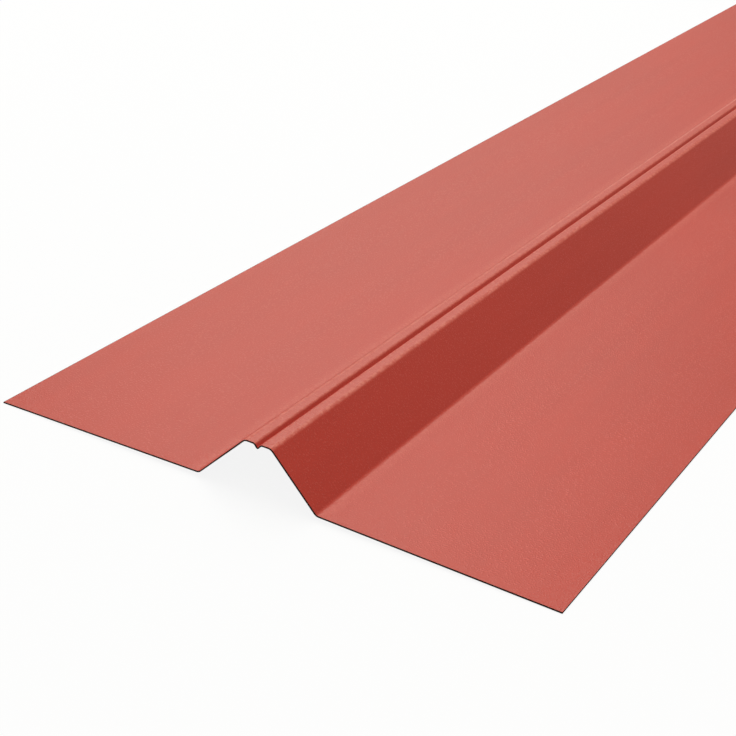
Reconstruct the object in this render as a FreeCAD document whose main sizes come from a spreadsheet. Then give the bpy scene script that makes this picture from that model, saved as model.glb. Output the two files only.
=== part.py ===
"""Flat roof ridge cap, folded from one strip of pre-painted steel sheet.

The section has two wide flanges that lie on the two roof slopes and, between
them, a raised rib with sloping sides and a flat crown.  A narrow V-shaped
groove is pressed along the middle of the crown.  All bends are true sheet-metal
bends: the face on the inside of a bend has the bend radius, and the face on its
outside has that radius plus the sheet's thickness.

Frame: X across the ridge, Y along it, Z up.  The origin is on the floor plane
under the middle of the ridge line, so the outer edges of the flanges are at
Z = 0.  Units are millimetres and degrees.
"""

import FreeCAD
import Part
import Sketcher

import math
import os
from enum import IntEnum

# Driving dimensions.  Widths and heights of the section are taken on the
# underside, between the sharp corners that the bends round off.
SIZES = {
    "cap_length": 2000.0,
    "flange_width": 150.0,
    "flange_fall": 1.0,
    "rib_base_width": 80.0,
    "rib_height": 32.0,
    "crown_width": 17.5,
    "groove_width": 5.0,
    "groove_depth": 3.1,
    "sheet_thickness": 0.7,
    "base_bend_radius": 4.0,
    "crest_bend_radius": 4.5,
    "shoulder_bend_radius": 1.8,
    "groove_bend_radius": 0.5,
}

# How closely an edge's place has to agree with a corner of the section.
SAME_PLACE = 1e-3

# Lines of the half section, out along the underside and back along the painted face.
OUT = ["UNDER_GROOVE", "UNDER_CROWN", "UNDER_SIDE", "UNDER_FLANGE", "CUT_EDGE"]
BACK = ["FACE_FLANGE", "FACE_SIDE", "FACE_CROWN", "FACE_GROOVE", "MIRROR_LINE"]
Line = IntEnum("Line", OUT + BACK, start=0)

# Ends of a sketch line, as the sketcher numbers them.
At = IntEnum("At", ["START", "END"])


class Axis(IntEnum):
    """The sketch's own axes, as the sketcher numbers them; the first starts at its origin."""

    ACROSS = -1
    UP = -2


# Each bend: its radius, then the lines that start at its corner on the inside
# of the bend and at its corner on the outside.
BENDS = {
    "base": ("base_bend_radius", Line.FACE_SIDE, Line.UNDER_FLANGE),
    "crest": ("crest_bend_radius", Line.UNDER_SIDE, Line.FACE_CROWN),
    "shoulder": ("shoulder_bend_radius", Line.UNDER_CROWN, Line.FACE_GROOVE),
    "groove": ("groove_bend_radius", Line.MIRROR_LINE, Line.UNDER_GROOVE),
}


def add_size_sheet(doc):
    """Put the driving dimensions in a spreadsheet, one alias for each."""
    sheet = doc.addObject("Spreadsheet::Sheet", "Sizes")
    for row, (name, value) in enumerate(SIZES.items(), start=1):
        sheet.set(f"A{row}", name)
        sheet.set(f"B{row}", str(value))
        sheet.setAlias(f"B{row}", name)
    doc.recompute()
    return sheet


def origin_plane(body, role):
    """Return one of the body's own origin planes."""
    return next(plane for plane in body.Origin.OriginFeatures if plane.Role == role)


def rough_corners(sheet):
    """Corners of the half section in drawing order, near enough for the constraints to settle."""
    fall = math.radians(sheet.flange_fall)
    flange = FreeCAD.Vector(math.cos(fall), -math.sin(fall), 0) * sheet.flange_width
    base = FreeCAD.Vector(sheet.rib_base_width / 2, -flange.y, 0)
    crest = FreeCAD.Vector(sheet.crown_width / 2, base.y + sheet.rib_height, 0)
    shoulder = FreeCAD.Vector(sheet.groove_width / 2, crest.y, 0)
    groove = FreeCAD.Vector(0, crest.y - sheet.groove_depth, 0)
    underside = [groove, shoulder, crest, base, base + flange]
    lift = FreeCAD.Vector(0, sheet.sheet_thickness, 0)
    return underside + [corner + lift for corner in reversed(underside)]


def draw_half_section(doc, body, sheet):
    """Sketch the right-hand half section with sharp corners and bind it to the sheet."""
    sketch = body.newObject("Sketcher::SketchObject", "HalfSection")
    sketch.AttachmentSupport = (origin_plane(body, "XZ_Plane"), [""])
    sketch.MapMode = "FlatFace"

    corners = rough_corners(sheet)
    for here, there in zip(corners, corners[1:] + corners[:1]):
        sketch.addGeometry(Part.LineSegment(here, there), False)

    def fix(kind, *what):
        return sketch.addConstraint(Sketcher.Constraint(kind, *what))

    def drive(name, formula, kind, *what):
        number = fix(kind, *what, sketch.evalExpression(formula))
        sketch.renameConstraint(number, name)
        sketch.setExpression(f"Constraints.{name}", formula)

    for line in Line:
        fix("Coincident", line, At.END, (line + 1) % len(Line), At.START)

    # The groove is on the mirror plane, and the flange's lower edge is on the floor.
    fix("PointOnObject", Line.UNDER_GROOVE, At.START, Axis.UP)
    fix("PointOnObject", Line.MIRROR_LINE, At.START, Axis.UP)
    fix("PointOnObject", Line.CUT_EDGE, At.START, Axis.ACROSS)

    # Underside.
    origin = (Axis.ACROSS, At.START)
    groove = (Line.UNDER_GROOVE, At.START)
    shoulder = (Line.UNDER_CROWN, At.START)
    crest = (Line.UNDER_SIDE, At.START)
    base = (Line.UNDER_FLANGE, At.START)
    fix("Horizontal", Line.UNDER_CROWN)
    drive("half_groove", "Sizes.groove_width / 2", "DistanceX", *origin, *shoulder)
    drive("groove_depth", "Sizes.groove_depth", "DistanceY", *groove, *shoulder)
    drive("half_crown", "Sizes.crown_width / 2", "DistanceX", *origin, *crest)
    drive("half_base", "Sizes.rib_base_width / 2", "DistanceX", *origin, *base)
    drive("height", "Sizes.rib_height", "DistanceY", *base, *crest)
    drive("flange", "Sizes.flange_width", "Distance", Line.UNDER_FLANGE)
    drive("fall", "-Sizes.flange_fall * 1 deg", "Angle", Line.UNDER_FLANGE)

    # The painted face runs one sheet thickness above the underside.
    thickness = "Sizes.sheet_thickness"
    fix("Perpendicular", Line.CUT_EDGE, Line.UNDER_FLANGE)
    drive("edge_thickness", thickness, "Distance", Line.CUT_EDGE)
    fix("Parallel", Line.FACE_FLANGE, Line.UNDER_FLANGE)
    fix("Parallel", Line.FACE_SIDE, Line.UNDER_SIDE)
    drive("side_thickness", thickness, "Distance", Line.FACE_SIDE, At.END, Line.UNDER_SIDE)
    fix("Parallel", Line.FACE_CROWN, Line.UNDER_CROWN)
    drive("crown_thickness", thickness, "Distance", Line.FACE_CROWN, At.END, Line.UNDER_CROWN)
    fix("Parallel", Line.FACE_GROOVE, Line.UNDER_GROOVE)
    drive("groove_thickness", thickness, "Distance", Line.FACE_GROOVE, At.END, Line.UNDER_GROOVE)
    doc.recompute()
    return sketch


def edges_at(shape, corner):
    """Names of the lengthwise edges through a corner of the section or its mirror image."""
    found = []
    for number, edge in enumerate(shape.Edges, start=1):
        box = edge.BoundBox
        lengthwise = max(box.XLength, box.ZLength) < SAME_PLACE
        off_across = abs(abs(box.Center.x) - corner.x)
        off_up = abs(box.Center.z - corner.y)
        if lengthwise and max(off_across, off_up) < SAME_PLACE:
            found.append(f"Edge{number}")
    return found


def round_corner(doc, body, name, corner, radius):
    """Round one corner of the section along the whole length, on both sides of the ridge."""
    base = body.Tip
    fillet = body.newObject("PartDesign::Fillet", name)
    fillet.Base = (base, edges_at(base.Shape, corner))
    fillet.setExpression("Radius", radius)
    doc.recompute()


def build_ridge_cap(doc, sheet):
    """Fold the strip: half section, length, mirror image, then the bends."""
    body = doc.addObject("PartDesign::Body", "RidgeCap")
    body.Label = "ridge_cap"
    sketch = draw_half_section(doc, body, sheet)

    strip = body.newObject("PartDesign::Pad", "HalfStrip")
    strip.Profile = sketch
    strip.Midplane = True
    strip.setExpression("Length", "Sizes.cap_length")
    doc.recompute()

    whole = body.newObject("PartDesign::Mirrored", "WholeStrip")
    whole.Originals = [strip]
    whole.MirrorPlane = (origin_plane(body, "YZ_Plane"), [""])
    body.Tip = whole
    doc.recompute()

    # The insides of the bends come first: they add the metal that the outsides then round off.
    for bend, (radius, inside, _) in BENDS.items():
        corner = sketch.getPoint(inside, At.START)
        round_corner(doc, body, f"{bend}_bend_inside", corner, f"Sizes.{radius}")
    for bend, (radius, _, outside) in BENDS.items():
        corner = sketch.getPoint(outside, At.START)
        outer_radius = f"Sizes.{radius} + Sizes.sheet_thickness"
        round_corner(doc, body, f"{bend}_bend_outside", corner, outer_radius)
    return body


def check(doc, pieces):
    """Stop if an object failed or a piece is not one valid solid."""
    for thing in doc.Objects:
        if {"Invalid", "Error"} & set(thing.State):
            raise RuntimeError(f"{thing.Label} did not recompute: {thing.State}")
    for piece in pieces:
        shape = piece.Shape
        if shape.isNull() or not shape.isValid() or len(shape.Solids) != 1:
            raise RuntimeError(f"{piece.Label} is not one valid solid")


def main():
    """Build the document, check it and write each piece to its own file."""
    doc = FreeCAD.newDocument("RidgeCap")
    sheet = add_size_sheet(doc)
    pieces = [build_ridge_cap(doc, sheet)]
    doc.recompute()
    check(doc, pieces)
    os.makedirs("parts", exist_ok=True)
    for piece in pieces:
        piece.Shape.exportStep(os.path.join("parts", f"{piece.Label}.step"))
        box = piece.Shape.BoundBox
        print(f"{piece.Label}: {box.XLength:.2f} x {box.YLength:.2f} x {box.ZLength:.2f} mm")


main()
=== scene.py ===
"""Looks of a flat roof ridge cap: one strip of pre-painted steel, folded lengthwise.

The cap is a single folded sheet.  Its top carries a matt brick-red coating
with fine beads in it, its underside a thin grey back coat, and its cut edges
show the sheared steel, near black with painted shadow.  Everything is in
metres, in the part's own frame: X across the ridge, Y along it, Z up, with
the floor at Z = 0.
"""

import logging
from dataclasses import dataclass, field
from enum import IntEnum
from math import cos, radians, sin
from typing import Any, Optional, Union

import bpy
import numpy as np
from mathutils import Matrix, Vector


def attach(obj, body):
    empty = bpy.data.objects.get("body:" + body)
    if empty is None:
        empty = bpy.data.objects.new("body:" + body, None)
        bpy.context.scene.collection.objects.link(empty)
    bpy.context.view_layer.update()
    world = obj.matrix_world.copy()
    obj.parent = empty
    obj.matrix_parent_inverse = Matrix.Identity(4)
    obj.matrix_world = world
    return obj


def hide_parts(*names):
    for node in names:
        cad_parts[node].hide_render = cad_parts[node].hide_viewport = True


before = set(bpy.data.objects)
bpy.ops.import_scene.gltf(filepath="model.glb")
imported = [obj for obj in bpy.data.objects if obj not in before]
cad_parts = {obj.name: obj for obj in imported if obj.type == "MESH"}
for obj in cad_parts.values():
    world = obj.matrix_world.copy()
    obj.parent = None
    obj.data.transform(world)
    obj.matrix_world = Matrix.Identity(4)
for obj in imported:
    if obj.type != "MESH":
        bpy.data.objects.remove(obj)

Colour = tuple[float, float, float]
Point = tuple[float, float, float]
Span = tuple[float, float]

LOG = logging.getLogger("ridge_cap")
CAP_NODE = "ridge_cap"
BODY = "root"
# Name of the mesh's paler-coat amount: partly coat worn by rubbing, partly painted sheen and highlight.
RUB_AND_SHEEN = "rub_and_sheen"
PHOTO_WIDTH = 736
SENSOR = 36.0
MM = 0.001
UNSTRETCHED: Point = (1.0, 1.0, 1.0)
NOISE_MEAN = 0.5


class Detail(IntEnum):
    """How many finer layers a noise has."""

    PLAIN = 0
    SOFT = 2
    FINE = 3


class Value:
    """A shader socket that takes part in Python arithmetic."""

    def __init__(self, graph: "Graph", socket: bpy.types.NodeSocket) -> None:
        """Keep the socket and the graph it belongs to."""
        self.graph = graph
        self.socket = socket

    def _math(self, operation: str, *terms: "Term") -> "Value":
        """Add one Math node.

        Args:
            operation: The Math node's operation.
            terms: Its operands in order, as numbers or values.

        Returns:
            The node's result.
        """
        made = self.graph.node("ShaderNodeMath", {"operation": operation}, dict(enumerate(terms)))
        return Value(self.graph, made.outputs[0])

    def __add__(self, other: "Term") -> "Value":
        """Return self + other."""
        return self._math("ADD", self, other)

    def __radd__(self, other: "Term") -> "Value":
        """Return other + self."""
        return self._math("ADD", other, self)

    def __sub__(self, other: "Term") -> "Value":
        """Return self - other."""
        return self._math("SUBTRACT", self, other)

    def __rsub__(self, other: "Term") -> "Value":
        """Return other - self."""
        return self._math("SUBTRACT", other, self)

    def __mul__(self, other: "Term") -> "Value":
        """Return self * other."""
        return self._math("MULTIPLY", self, other)

    def __rmul__(self, other: "Term") -> "Value":
        """Return other * self."""
        return self._math("MULTIPLY", other, self)

    def ramp(self, low: float, high: float) -> "Value":
        """Rise smoothly from 0 to 1.

        Args:
            low: The value that gives 0.
            high: The value that gives 1.

        Returns:
            The eased share of the way from low to high.
        """
        settings = {"interpolation_type": "SMOOTHSTEP"}
        sockets = {"Value": self, "From Min": low, "From Max": high}
        return Value(self.graph, self.graph.node("ShaderNodeMapRange", settings, sockets).outputs[0])

    def swing(self, reach: float) -> "Value":
        """Return how far a noise is above or below its mean, times reach."""
        return reach * (self - NOISE_MEAN)


Term = Union[Value, float]
SocketInput = Union[Value, float, Colour, Point]


class Graph:
    """The node tree of one finish, built node by node."""

    def __init__(self, name: str) -> None:
        """Start an empty material of this name."""
        self.material = bpy.data.materials.new(name)
        self.material.use_nodes = True
        self.tree = self.material.node_tree
        self.tree.nodes.clear()

    def node(
        self,
        kind: str,
        settings: Optional[dict[str, Any]] = None,
        sockets: Optional[dict[Union[str, int], SocketInput]] = None,
    ) -> bpy.types.Node:
        """Add a node, set it up and fill its sockets.

        Args:
            kind: The node's type.
            settings: Properties of the node, set before its sockets.
            sockets: A value or a link for each socket, by its name, identifier or number.

        Returns:
            The new node.
        """
        made = self.tree.nodes.new(kind)
        for name, setting in (settings or {}).items():
            setattr(made, name, setting)
        for key, content in (sockets or {}).items():
            socket = self._socket(made, key)
            if isinstance(content, Value):
                self.tree.links.new(content.socket, socket)
            elif socket.type == "RGBA":
                socket.default_value = (*content, 1.0)
            else:
                socket.default_value = content
        return made

    @staticmethod
    def _socket(made: bpy.types.Node, key: Union[str, int]) -> bpy.types.NodeSocket:
        """Find a node's input.

        Args:
            made: The node.
            key: The input's number, identifier or name.

        Returns:
            The input.
        """
        if isinstance(key, int):
            return made.inputs[key]
        by_identifier = {socket.identifier: socket for socket in made.inputs}
        return by_identifier.get(key) or made.inputs[key]

    def place(self, stretch: Point) -> Value:
        """Return the piece's own coordinates in metres, scaled along each axis by stretch."""
        own = Value(self, self.node("ShaderNodeTexCoord").outputs["Object"])
        scaled = self.node("ShaderNodeMapping", None, {"Vector": own, "Scale": stretch})
        return Value(self, scaled.outputs[0])

    def noise(self, size: float, detail: Detail = Detail.SOFT, stretch: Point = UNSTRETCHED) -> Value:
        """Soft random variation.

        Args:
            size: Size of its lumps in metres.
            detail: How many finer layers it has.
            stretch: Scale of the coordinates along each axis; below 1 the lumps are longer that way.

        Returns:
            A value that is NOISE_MEAN on average.
        """
        sockets = {"Vector": self.place(stretch), "Scale": 1.0 / size, "Detail": detail}
        made = self.node("ShaderNodeTexNoise", {"noise_dimensions": "3D"}, sockets)
        return Value(self, made.outputs[0])

    def attribute(self, name: str) -> Value:
        """Return a number stored with the mesh's points."""
        return Value(self, self.node("ShaderNodeAttribute", {"attribute_name": name}).outputs["Fac"])

    def mix(self, share: Value, one: SocketInput, other: SocketInput) -> Value:
        """Blend two colours.

        Args:
            share: How much of the second colour shows.
            one: The first colour.
            other: The second colour.

        Returns:
            The blended colour.
        """
        sockets = {"Factor_Float": share, "A_Color": one, "B_Color": other}
        made = self.node("ShaderNodeMix", {"data_type": "RGBA"}, sockets)
        return Value(self, next(out for out in made.outputs if out.identifier == "Result_Color"))

    def bump(self, height: Value, distance: float, strength: float = 1.0) -> Value:
        """Return a normal roughened by height times this distance in metres."""
        sockets = {"Height": height, "Distance": distance, "Strength": strength}
        return Value(self, self.node("ShaderNodeBump", None, sockets).outputs[0])

    def finish(self, shader: bpy.types.Node) -> bpy.types.Material:
        """Send a shader to the output and return the material."""
        out = self.node("ShaderNodeOutputMaterial")
        self.tree.links.new(shader.outputs[0], out.inputs["Surface"])
        return self.material

    def surface(self, sockets: dict[Union[str, int], SocketInput]) -> bpy.types.Material:
        """Finish with one Principled shader that has these sockets and return the material."""
        return self.finish(self.node("ShaderNodeBsdfPrincipled", None, sockets))


@dataclass(frozen=True)
class TexturedCoat:
    """Matt brick-red coating with fine beads that stand proud, baked onto the coil before folding.

    A tone is the weight of one pattern in the colour, and a swing is how far
    one pattern moves the roughness.
    """

    name: str = "brick_red_textured_coat"
    colour: Colour = (0.520, 0.0315, 0.0155)
    shade: Colour = (0.475, 0.0275, 0.0132)
    # Paler colour of the beads, partly painted glint on them.
    bead_and_glint: Colour = (0.760, 0.130, 0.100)
    # Paler colour where the coat is worn by rubbing, and of the painted sheen and highlight on the crown
    # and bends.
    rubbed_and_sheen: Colour = (0.700, 0.165, 0.125)
    roughness: float = 0.44
    ior: float = 1.5
    tone_span: Span = (0.30, 0.70)
    grain_size: float = 0.6 * MM
    grain_tone: float = 0.2
    grain_swing: float = 0.10
    grain_relief: float = 0.6
    drift_size: float = 0.22
    drift_tone: float = 0.5
    drift_swing: float = 0.06
    streak_size: float = 0.012
    streak_stretch: Point = (1.0, 0.02, 1.0)
    streak_tone: float = 0.3
    bead_size: float = 1.0 * MM
    bead_span: Span = (0.55, 0.80)
    bead_height: float = 0.09 * MM
    bead_glint_tone: float = 0.18
    bead_polish: float = 0.10
    # Patches of the paler coat, which is partly worn by rubbing and partly painted sheen.
    rub_and_sheen_size: float = 3.0 * MM
    rub_and_sheen_span: Span = (0.40, 0.65)
    least_rub_and_sheen: float = 0.45

    def material(self) -> bpy.types.Material:
        """Build the coating.

        Slow drift, lengthwise streaks and a fine grain set its tone.  Beads are
        the peaks of a plain noise: a little paler, smoother and higher than the
        paint around them, the paleness partly as painted glint.  The coat is
        paler still along the crown, its bends and the rib's feet, in patches:
        partly worn by rubbing, partly painted sheen and highlight.

        Returns:
            The material.
        """
        graph = Graph(self.name)
        grain = graph.noise(self.grain_size, Detail.FINE)
        drift = graph.noise(self.drift_size)
        streak = graph.noise(self.streak_size, stretch=self.streak_stretch)
        bead_and_glint = graph.noise(self.bead_size, Detail.PLAIN).ramp(*self.bead_span)
        patch = graph.noise(self.rub_and_sheen_size).ramp(*self.rub_and_sheen_span)
        tone = self.grain_tone * grain + self.drift_tone * drift + self.streak_tone * streak
        base = graph.mix(tone.ramp(*self.tone_span), self.shade, self.colour)
        # Painted glint, partly the beads' own paler colour: the beads turn the paint toward that paler
        # colour.
        painted = graph.mix(self.bead_glint_tone * bead_and_glint, base, self.bead_and_glint)
        # Painted sheen and highlight, partly coat worn by rubbing: the mesh's amount, broken into
        # patches, turns the paint toward the paler colour.
        rub_and_sheen = graph.attribute(RUB_AND_SHEEN) * (self.least_rub_and_sheen + (1.0 - self.least_rub_and_sheen) * patch)
        matt = self.roughness + grain.swing(self.grain_swing) + drift.swing(self.drift_swing)
        return graph.surface({
            "Base Color": graph.mix(rub_and_sheen, painted, self.rubbed_and_sheen),
            "Roughness": matt - self.bead_polish * bead_and_glint,
            "IOR": self.ior,
            "Normal": graph.bump(bead_and_glint + self.grain_relief * grain, self.bead_height),
        })


@dataclass(frozen=True)
class BackCoat:
    """Thin grey coat on the underside, rolled on lengthwise."""

    name: str = "grey_back_coat"
    colour: Colour = (0.360, 0.355, 0.325)
    shade: Colour = (0.275, 0.272, 0.250)
    roughness: float = 0.52
    tone_span: Span = (0.30, 0.70)
    streak_size: float = 0.006
    streak_stretch: Point = (1.0, 0.015, 1.0)
    streak_tone: float = 0.6
    streak_swing: float = 0.12
    streak_height: float = 0.03 * MM
    streak_strength: float = 0.25
    cloud_size: float = 0.09
    cloud_stretch: Point = (1.0, 0.4, 1.0)
    cloud_tone: float = 0.4

    def material(self) -> bpy.types.Material:
        """Build the back coat: fine roller streaks over broad clouds, where the coat is thinner."""
        graph = Graph(self.name)
        streak = graph.noise(self.streak_size, Detail.FINE, self.streak_stretch)
        cloud = graph.noise(self.cloud_size, Detail.FINE, self.cloud_stretch)
        tone = self.streak_tone * streak + self.cloud_tone * cloud
        return graph.surface({
            "Base Color": graph.mix(tone.ramp(*self.tone_span), self.shade, self.colour),
            "Roughness": self.roughness + streak.swing(self.streak_swing),
            "Normal": graph.bump(streak, self.streak_height, self.streak_strength),
        })


@dataclass(frozen=True)
class ShearedEdgeAndShadow:
    """Dull steel of the sheet's cut edges with paint dragged down over it, made near black: partly the
    edge's own dark finish, partly painted shadow of the gap under the edge.
    """

    name: str = "sheared_edge_and_shadow"
    # Both colours are near black: partly the dull edge, partly painted shadow along it.
    steel: Colour = (0.008, 0.006, 0.005)
    paint: Colour = (0.016, 0.005, 0.004)
    roughness: float = 0.85
    specular_level: float = 0.1
    drag_size: float = 3.0 * MM
    drag_span: Span = (0.42, 0.62)
    drag_swing: float = 0.2

    def material(self) -> bpy.types.Material:
        """Build the edge: patches of dragged paint on steel, both near black as painted shadow."""
        graph = Graph(self.name)
        drag = graph.noise(self.drag_size, Detail.FINE)
        return graph.surface({
            "Base Color": graph.mix(drag.ramp(*self.drag_span), self.steel, self.paint),
            "Roughness": self.roughness + drag.swing(self.drag_swing),
            "Specular IOR Level": self.specular_level,
        })


@dataclass(frozen=True)
class PaleFloor:
    """Plain white studio floor that keeps a soft shadow."""

    name: str = "pale_floor"
    colour: Colour = (0.90, 0.90, 0.97)
    white: Colour = (1.0, 1.0, 1.0)
    white_strength: float = 1.0
    white_share: float = 0.88
    cloud_size: float = 0.8
    cloud_shade: float = 0.98

    def material(self) -> bpy.types.Material:
        """Build the floor: matt to the light, and seen mostly as plain white, so its shadow is soft."""
        graph = Graph(self.name)
        path = graph.node("ShaderNodeLightPath").outputs
        camera = Value(graph, path["Is Camera Ray"])
        glossy = Value(graph, path["Is Glossy Ray"])
        through = Value(graph, path["Is Transmission Ray"])
        shaded = tuple(self.cloud_shade * part for part in self.colour)
        pale = graph.mix(graph.noise(self.cloud_size), shaded, self.colour)
        matt = graph.node("ShaderNodeBsdfDiffuse", None, {"Color": pale})
        plain = {"Color": self.white, "Strength": self.white_strength}
        white = graph.node("ShaderNodeEmission", None, plain)
        shown = self.white_share * (camera + glossy + through)
        both = {0: shown, 1: Value(graph, matt.outputs[0]), 2: Value(graph, white.outputs[0])}
        return graph.finish(graph.node("ShaderNodeMixShader", None, both))


class SheetSide(IntEnum):
    """Material slots of the folded sheet, in the order in which its finishes are added."""

    PAINTED = 0
    BACK = 1
    # Dark finish of the cut edges and of the painted face's strips along them, partly painted shadow.
    CUT_AND_SHADOW = 2


@dataclass(frozen=True)
class Section:
    """Section of the fold, with its sizes taken on the underside between sharp corners.

    Each arc is cut into equal steps.  Each flat is divided at shares of its
    length that lie closest together at its ends.
    """

    flange_width: float = 150.0 * MM
    flange_fall: float = radians(1.0)
    rib_base_width: float = 80.0 * MM
    rib_height: float = 32.0 * MM
    crown_width: float = 17.5 * MM
    groove_width: float = 5.0 * MM
    groove_depth: float = 3.1 * MM
    thickness: float = 0.7 * MM
    base_bend: float = 4.0 * MM
    crest_bend: float = 4.5 * MM
    shoulder_bend: float = 1.8 * MM
    groove_bend: float = 0.5 * MM
    # Paler coat on the rib's feet, crown, crests and shoulders: at the feet a painted highlight,
    # elsewhere partly worn by rubbing and partly painted sheen and highlight.
    foot_highlight: float = 0.25
    foot_points: int = 2
    crown_rub_and_sheen: float = 0.22
    crest_rub_and_sheen: float = 0.8
    shoulder_rub_and_sheen: float = 0.6
    hump_power: float = 1.5
    arc_steps: int = 24
    flat_steps: tuple[float, ...] = (0.0014, 0.01, 0.05, 0.2, 0.4, 0.6, 0.8, 0.95, 0.99, 0.9986)

    def corners(self) -> np.ndarray:
        """Return the underside's sharp corners, from the left cut edge to the right, as (x, z) rows."""
        rise = self.flange_width * sin(self.flange_fall)
        crown = rise + self.rib_height
        right = np.array([
            (self.groove_width / 2, crown),
            (self.crown_width / 2, crown),
            (self.rib_base_width / 2, rise),
            (self.rib_base_width / 2 + self.flange_width * cos(self.flange_fall), 0.0),
        ])
        groove = np.array([(0.0, crown - self.groove_depth)])
        return np.concatenate([right[::-1] * (-1.0, 1.0), groove, right])

    def bends(self) -> np.ndarray:
        """Return the radius on the inside of each bend, from left to right."""
        half = [self.base_bend, self.crest_bend, self.shoulder_bend]
        return np.array([*half, self.groove_bend, *half[::-1]])

    @staticmethod
    def _in_order(edges: np.ndarray, flats: np.ndarray, arcs: np.ndarray) -> np.ndarray:
        """Put what holds on the section's stretches in the order of its points.

        Args:
            edges: An array whose first row holds at the left cut edge and its last at the right one.
            flats: A row for each flat, from left to right.
            arcs: A row for each arc, from left to right.

        Returns:
            The left edge, flats and arcs by turns, and the right edge.
        """
        stretches = [part for pair in zip(flats, arcs) for part in pair]
        return np.concatenate([edges[:1], *stretches, flats[-1], edges[-1:]])

    def underside(self) -> tuple[np.ndarray, np.ndarray]:
        """Carry the underside round its bends.

        A line's heading is its angle from +X, and its normal is the heading
        turned a quarter to the left, towards the painted face.  At a corner the
        heading turns from one line's to the next one's about a centre that lies
        one radius from both lines.  A point of the arc is that centre less the
        signed radius times the normal at its heading.  Where the sheet turns
        left, the underside is the outside of the bend and its radius is larger
        by the thickness.  Between two arcs, points divide the flat.

        Returns:
            The points and their unit normals, as two arrays of (x, z) rows.
        """
        corner = self.corners()
        run = np.diff(corner, axis=0)
        heading = np.arctan2(run[:, 1], run[:, 0])
        along = np.stack([np.cos(heading), np.sin(heading)], axis=1)
        turn = np.diff(heading)
        side = np.sign(turn)
        radius = self.bends() + self.thickness * (side > 0)
        reach = radius * np.tan(np.abs(turn) / 2)
        signed = (side * radius)[:, None]
        left = np.stack([-along[:, 1], along[:, 0]], axis=1)
        centre = corner[1:-1] - reach[:, None] * along[:-1] + signed * left[:-1]

        share = np.linspace(0.0, 1.0, self.arc_steps + 1)
        angle = heading[:-1, None] + turn[:, None] * share
        arc_normal = np.stack([-np.sin(angle), np.cos(angle)], axis=2)
        arc = centre[:, None] - signed[:, None] * arc_normal

        start = np.concatenate([corner[:1], arc[:, -1]])
        end = np.concatenate([arc[:, 0], corner[-1:]])
        step = np.array(self.flat_steps)[None, :, None]
        flat = start[:, None] + step * (end - start)[:, None]
        flat_normal = np.broadcast_to(left[:, None], flat.shape)
        return self._in_order(corner, flat, arc), self._in_order(left, flat_normal, arc_normal)

    def rub_and_sheen(self) -> np.ndarray:
        """Say how pale the coat is painted along the crown, its bends and the rib's feet.

        On the crown, the crests and the shoulders the paler coat is partly worn by
        rubbing and partly painted sheen and highlight; at the feet it is a painted
        highlight.

        The crown's two flats have the crown's amount, and the other flats have
        0.  Over an arc the amount passes evenly from one flat's to the next
        one's, and the bend adds its own amount times a hump: the sine of half a
        turn, to the hump's power, from one end of the arc to the other.  At a
        foot, the flange's points next to the base bend have the foot's amount,
        and the bend adds it times the square of the share of its arc that is
        left before the rib's side.

        Returns:
            The amount at each point of the section, in the order of its points.
        """
        half_bends = [0.0, self.crest_rub_and_sheen, self.shoulder_rub_and_sheen]
        bend = np.array([*half_bends, 0.0, *half_bends[::-1]])
        half_flats = [0.0, 0.0, self.crown_rub_and_sheen, 0.0]
        level = np.array([*half_flats, *half_flats[::-1]])
        share = np.linspace(0.0, 1.0, self.arc_steps + 1)
        hump = np.sin(np.pi * share).clip(0.0) ** self.hump_power
        # Painted sheen and highlight over the crown and bends, partly coat worn by rubbing.
        arc = level[:-1, None] + np.diff(level)[:, None] * share + bend[:, None] * hump
        flat = np.repeat(level[:, None], len(self.flat_steps), axis=1)
        # Painted highlight at the rib's feet, fading up the base bend and held on the flange's points
        # next to it.
        fade = self.foot_highlight * (1.0 - share) ** 2
        arc[0] += fade
        arc[-1] += fade[::-1]
        flat[0, -self.foot_points:] = self.foot_highlight
        flat[-1, :self.foot_points] = self.foot_highlight
        return self._in_order(level, flat, arc)


def add_object(name: str, data: bpy.types.ID) -> bpy.types.Object:
    """Put an object of this name and data into the scene and return it."""
    made = bpy.data.objects.new(name, data)
    bpy.context.scene.collection.objects.link(made)
    return made


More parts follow.
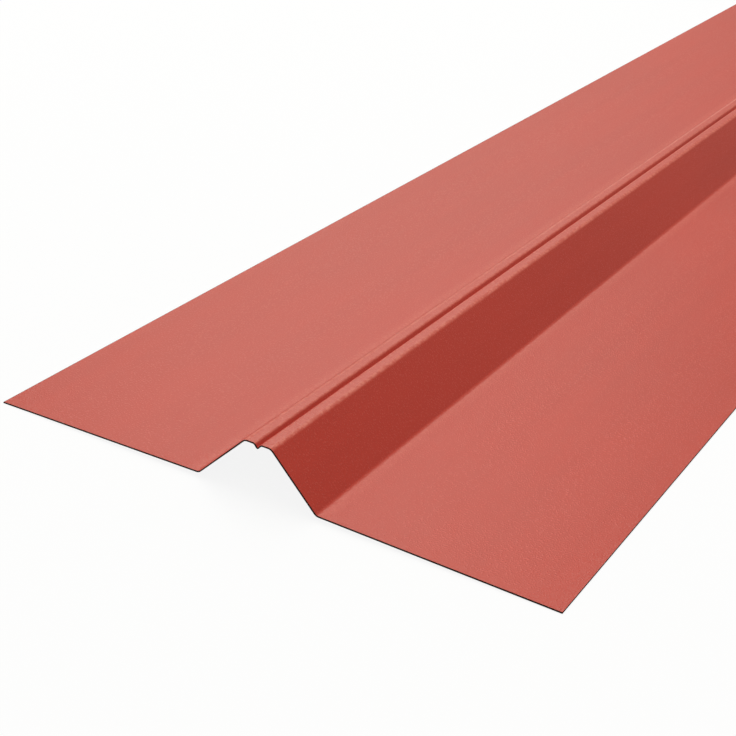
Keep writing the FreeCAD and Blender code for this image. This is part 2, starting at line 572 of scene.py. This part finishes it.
@dataclass
class RidgeCap:
    """The folded sheet, in one piece from cut end to cut end."""

    name: str = "folded_ridge_sheet"
    length: float = 2.0
    stations: int = 61
    # Width of the dark strip at each cut end of the painted face: partly chipped coat, partly painted
    # shadow along the edge.
    chip_and_shadow_width: float = 0.5 * MM
    section: Section = field(default_factory=Section)
    coat: TexturedCoat = field(default_factory=TexturedCoat)
    back: BackCoat = field(default_factory=BackCoat)
    edge: ShearedEdgeAndShadow = field(default_factory=ShearedEdgeAndShadow)

    def build(self) -> bpy.types.Object:
        """Build, dress and place the cap.

        Returns:
            The finished piece.
        """
        mesh = self._folded_sheet()
        for finish in (self.coat, self.back, self.edge):
            mesh.materials.append(finish.material())
        piece = add_object(self.name, mesh)
        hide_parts(CAP_NODE)
        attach(piece, BODY)
        return piece

    def _folded_sheet(self) -> bpy.types.Mesh:
        """Carry the section along the ridge.

        The painted face is the underside moved by the thickness along its
        normals.  The two make one closed ring: out along the painted face from
        left to right, and back along the underside.  Each station along Y holds
        that ring, quads join each station to the next, and the two end rings
        are closed by quads from the painted face to the underside.

        Returns:
            The closed mesh, with its faces marked by side.
        """
        under, normal = self.section.underside()
        face = under + self.section.thickness * normal
        ring = np.concatenate([face, under[::-1]])
        count, ring_count = len(under), len(ring)
        inner = np.linspace(-1.0, 1.0, self.stations - 2) * (self.length / 2 - self.chip_and_shadow_width)
        along = np.concatenate([[-self.length / 2], inner, [self.length / 2]])

        points = np.empty((self.stations, ring_count, 3))
        points[..., 0] = ring[:, 0]
        points[..., 1] = along[:, None]
        points[..., 2] = ring[:, 1]

        number = np.arange(self.stations * ring_count).reshape(self.stations, ring_count)
        ahead = np.roll(number, -1, axis=1)
        wall = np.stack([number[:-1], ahead[:-1], ahead[1:], number[1:]], axis=2).reshape(-1, 4)
        top, low = number[:, :count], number[:, :count - 1:-1]
        cap = np.stack([top[:, :-1], low[:, :-1], low[:, 1:], top[:, 1:]], axis=2)
        quads = np.concatenate([wall, cap[0], cap[-1][:, ::-1]])

        mesh = bpy.data.meshes.new(self.name)
        mesh.from_pydata(points.reshape(-1, 3).tolist(), [], quads.tolist())
        mesh.polygons.foreach_set("material_index", self._sides(ring_count, count))
        mesh.polygons.foreach_set("use_smooth", np.ones(len(quads), bool))
        # Paler-coat amount at each point: partly worn by rubbing, partly painted sheen and highlight.
        # None on the underside.
        rub_and_sheen = np.concatenate([self.section.rub_and_sheen(), np.zeros(count)])
        mesh.attributes.new(RUB_AND_SHEEN, "FLOAT", "POINT").data.foreach_set("value", np.tile(rub_and_sheen, self.stations))
        self._keep_cut_edges_sharp(mesh, ring_count, count)
        mesh.update()
        mesh.validate()
        return mesh

    def _sides(self, ring_count: int, count: int) -> np.ndarray:
        """Say which finish each face takes.

        A lengthwise strip is on the painted face, on the underside or on one of
        the two long cut edges.  The painted face's outermost strip along each
        of the four edges takes the cut edge's dark finish too, as the two
        closed ends do: partly chipped coat, partly painted shadow along the edge.

        Args:
            ring_count: Points in a ring.
            count: Points of a ring on its painted face.

        Returns:
            The SheetSide of each face, in the order of the mesh's faces.
        """
        strip = np.full(ring_count, SheetSide.BACK)
        strip[:count - 1] = SheetSide.PAINTED
        strip[[count - 1, ring_count - 1]] = SheetSide.CUT_AND_SHADOW
        strips = np.tile(strip, (self.stations - 1, 1))
        # Painted shadow, partly chipped coat: the outermost strips of the painted face take the dark
        # edge finish.
        strips[[0, -1], :count] = SheetSide.CUT_AND_SHADOW
        strips[:, [0, count - 2]] = SheetSide.CUT_AND_SHADOW
        ends = np.full(2 * (count - 1), SheetSide.CUT_AND_SHADOW)
        return np.concatenate([strips.ravel(), ends]).astype(np.int32)

    def _keep_cut_edges_sharp(self, mesh: bpy.types.Mesh, ring_count: int, count: int) -> None:
        """Mark the arrises of the cut edges.

        An edge is sharp where both its ends are on the same end ring, or where
        it runs lengthwise along one of the ring's four corners.

        Args:
            mesh: The sheet.
            ring_count: Points in a ring.
            count: Points of a ring on its painted face.
        """
        ends = np.empty(2 * len(mesh.edges), np.int32)
        mesh.edges.foreach_get("vertices", ends)
        station, spot = np.divmod(ends.reshape(-1, 2), ring_count)
        level = station[:, 0] == station[:, 1]
        at_end = np.isin(station[:, 0], (0, self.stations - 1))
        at_corner = np.isin(spot[:, 0], (0, count - 1, count, ring_count - 1))
        sharp = np.where(level, at_end, at_corner)
        mesh.attributes.new("sharp_edge", "BOOLEAN", "EDGE").data.foreach_set("value", sharp)


@dataclass(frozen=True)
class SoftBox:
    """A rectangular studio lamp, with its power in watts."""

    name: str
    place: Point
    power: float
    aim: Point = (0.0, -0.2, 0.0)
    size: tuple[float, float] = (4.0, 4.0)
    tint: Colour = (1.0, 1.0, 0.88)

    def hang(self) -> bpy.types.Object:
        """Hang the lamp at its place, facing its aim.

        Returns:
            The lamp.
        """
        data = bpy.data.lights.new(self.name, "AREA")
        data.shape = "RECTANGLE"
        data.size, data.size_y = self.size
        data.energy = self.power
        data.color = self.tint
        lamp = add_object(self.name, data)
        lamp.location = self.place
        facing = Vector(self.aim) - Vector(self.place)
        lamp.rotation_euler = facing.to_track_quat("-Z", "Y").to_euler()
        return lamp


@dataclass(frozen=True)
class Viewpoint:
    """Where the picture is taken from; angles in radians."""

    name: str = "camera"
    place: Point = (0.4100, -1.6114, 0.4574)
    turned_left: float = radians(29.27)
    tipped_down: float = radians(26.79)
    rolled: float = radians(3.55)
    focal_pixels: float = 1521.6
    clip: Span = (0.01, 200.0)

    def stand(self) -> bpy.types.Object:
        """Put the camera in place.

        The view direction is turned left from +Y and tipped down; the picture's
        right and up axes are then rolled about it.

        Returns:
            The camera.
        """
        yaw, pitch = self.turned_left, self.tipped_down
        forward = Vector((-sin(yaw) * cos(pitch), cos(yaw) * cos(pitch), -sin(pitch)))
        level = Vector((cos(yaw), sin(yaw), 0.0))
        right = level * cos(self.rolled) + level.cross(forward) * sin(self.rolled)
        axes = Matrix((right, right.cross(forward), -forward)).transposed()
        data = bpy.data.cameras.new(self.name)
        data.sensor_width = SENSOR
        data.lens = SENSOR * self.focal_pixels / PHOTO_WIDTH
        data.clip_start, data.clip_end = self.clip
        camera = add_object(self.name, data)
        camera.matrix_world = Matrix.Translation(self.place) @ axes.to_4x4()
        bpy.context.scene.camera = camera
        return camera


@dataclass
class Studio:
    """Floor, lamps, surrounding light and camera."""

    floor_name: str = "studio_floor"
    floor_reach: float = 60.0
    floor_drop: float = 0.2 * MM
    floor_lines: int = 9
    floor: PaleFloor = field(default_factory=PaleFloor)
    world_name: str = "studio"
    surround: Colour = (0.444, 0.444, 0.391)
    view: Viewpoint = field(default_factory=Viewpoint)
    lamps: tuple[SoftBox, ...] = (
        SoftBox("overhead_box", place=(-1.0, 0.0, 4.0), power=102.0),
        SoftBox("back_left_box", place=(-3.0, 4.0, 4.5), power=123.0),
    )

    def lay_floor(self) -> bpy.types.Object:
        """Lay the floor: a flat grid of two parameters, X and Y, just under the cap.

        Returns:
            The floor.
        """
        across = np.linspace(-self.floor_reach, self.floor_reach, self.floor_lines)
        x, y = np.meshgrid(across, across)
        points = np.stack([x, y, np.full_like(x, -self.floor_drop)], axis=2).reshape(-1, 3)
        number = np.arange(len(points)).reshape(x.shape)
        quads = np.stack([number[:-1, :-1], number[:-1, 1:], number[1:, 1:], number[1:, :-1]], axis=2)
        mesh = bpy.data.meshes.new(self.floor_name)
        mesh.from_pydata(points.tolist(), [], quads.reshape(-1, 4).tolist())
        mesh.materials.append(self.floor.material())
        floor = add_object(self.floor_name, mesh)
        return floor

    def fill_with_light(self) -> None:
        """Light the room evenly from all round, and show its colours as they are."""
        world = bpy.data.worlds.new(self.world_name)
        world.use_nodes = True
        world.node_tree.nodes["Background"].inputs["Color"].default_value = (*self.surround, 1.0)
        bpy.context.scene.world = world
        bpy.context.scene.view_settings.view_transform = "Standard"

    def set_up(self) -> list[bpy.types.Object]:
        """Light the room, lay the floor, hang the lamps and stand the camera.

        Returns:
            The floor, the lamps and the camera.
        """
        self.fill_with_light()
        return [self.lay_floor(), *(lamp.hang() for lamp in self.lamps), self.view.stand()]


def main() -> None:
    """Build the cap and the studio around it."""
    logging.basicConfig(level=logging.INFO, format="%(name)s: %(message)s")
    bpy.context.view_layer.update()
    sheet = RidgeCap().build()
    LOG.info("%s: %d faces", sheet.name, len(sheet.data.polygons))
    for item in Studio().set_up():
        LOG.info("%s: set up", item.name)


if __name__ == "__main__":
    main()
